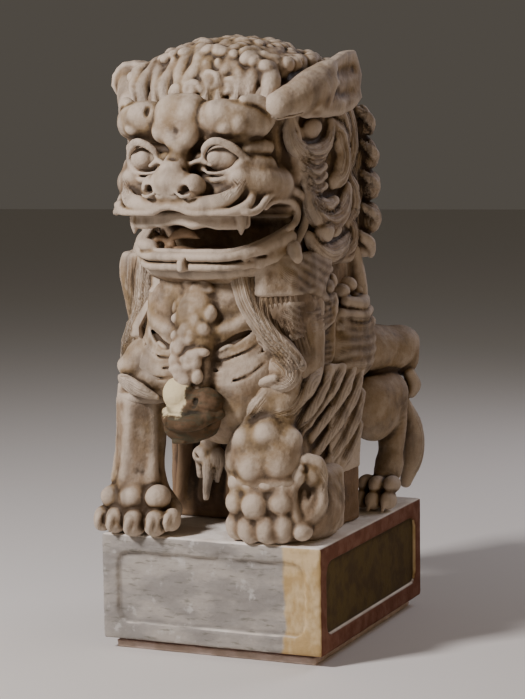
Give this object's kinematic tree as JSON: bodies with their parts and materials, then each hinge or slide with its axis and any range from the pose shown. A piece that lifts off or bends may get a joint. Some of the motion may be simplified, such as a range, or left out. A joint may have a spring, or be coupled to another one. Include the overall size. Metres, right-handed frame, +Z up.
{
  "type": "foo dog statue",
  "caption": "Carved sandstone guardian lion with open mouth, curled mane, mask breastplate and bell, one paw on a cub, standing on a panelled plinth and bed slab.",
  "frame": {"origin": "centre of the underside of the bed slab", "axes": "+Z up; the plinth's front faces -Y; +X is the lion's left-hand side (the lion itself is turned 6 degrees towards its right)"},
  "size_m": [0.644, 0.8672, 1.5529],
  "materials": {
    "lion_sandstone": "carved tan sandstone, worn and weathered, with pale highlights and dark dirt in the cuts",
    "shaded_sandstone": "rough-dressed sandstone darkened by dirt",
    "bell_stone": "sandstone, scaled pale on top and stained olive below",
    "plinth_stone": "grey sandstone with a sunk, spalled panel on each face",
    "bed_stone": "pale sawn stone with chipped edges",
    "mortar": "dark weathered lime mortar",
    "dowel_bronze": "dull bronze dowel"
  },
  "bodies": {
    "root": {"bed_slab": "bed_stone", "bed_mortar": "mortar", "plinth_block": "plinth_stone", "support_wall": "shaded_sandstone", "torso_block": "lion_sandstone", "back_slab": "lion_sandstone", "hindquarters": "lion_sandstone", "left_hind_leg": "lion_sandstone", "right_hind_leg": "lion_sandstone", "tail": "lion_sandstone", "right_shoulder": "lion_sandstone", "right_foreleg": "lion_sandstone", "left_foreleg": "lion_sandstone", "cub": "lion_sandstone", "chest_mask": "lion_sandstone", "bell": "bell_stone", "bell_tassel": "lion_sandstone", "left_drape": "lion_sandstone", "right_drape": "lion_sandstone", "left_shoulder_flaps": "lion_sandstone", "right_shoulder_flaps": "lion_sandstone", "left_shoulder_lock": "lion_sandstone", "right_shoulder_lock": "lion_sandstone", "lower_jaw": "lion_sandstone", "tongue": "shaded_sandstone", "head_block": "lion_sandstone", "upper_teeth": "lion_sandstone", "left_eye": "lion_sandstone", "right_eye": "lion_sandstone", "crown_curls": "lion_sandstone", "left_ear": "lion_sandstone", "right_ear": "lion_sandstone", "left_mane": "lion_sandstone", "right_mane": "lion_sandstone", "plinth_dowels": "dowel_bronze", "leg_dowels": "dowel_bronze", "body_dowels": "dowel_bronze", "neck_dowel": "dowel_bronze", "jaw_dowels": "dowel_bronze", "crown_dowels": "dowel_bronze", "ear_pins": "dowel_bronze", "bell_pin": "dowel_bronze", "tail_pin": "dowel_bronze"}
  },
  "joints": []
}
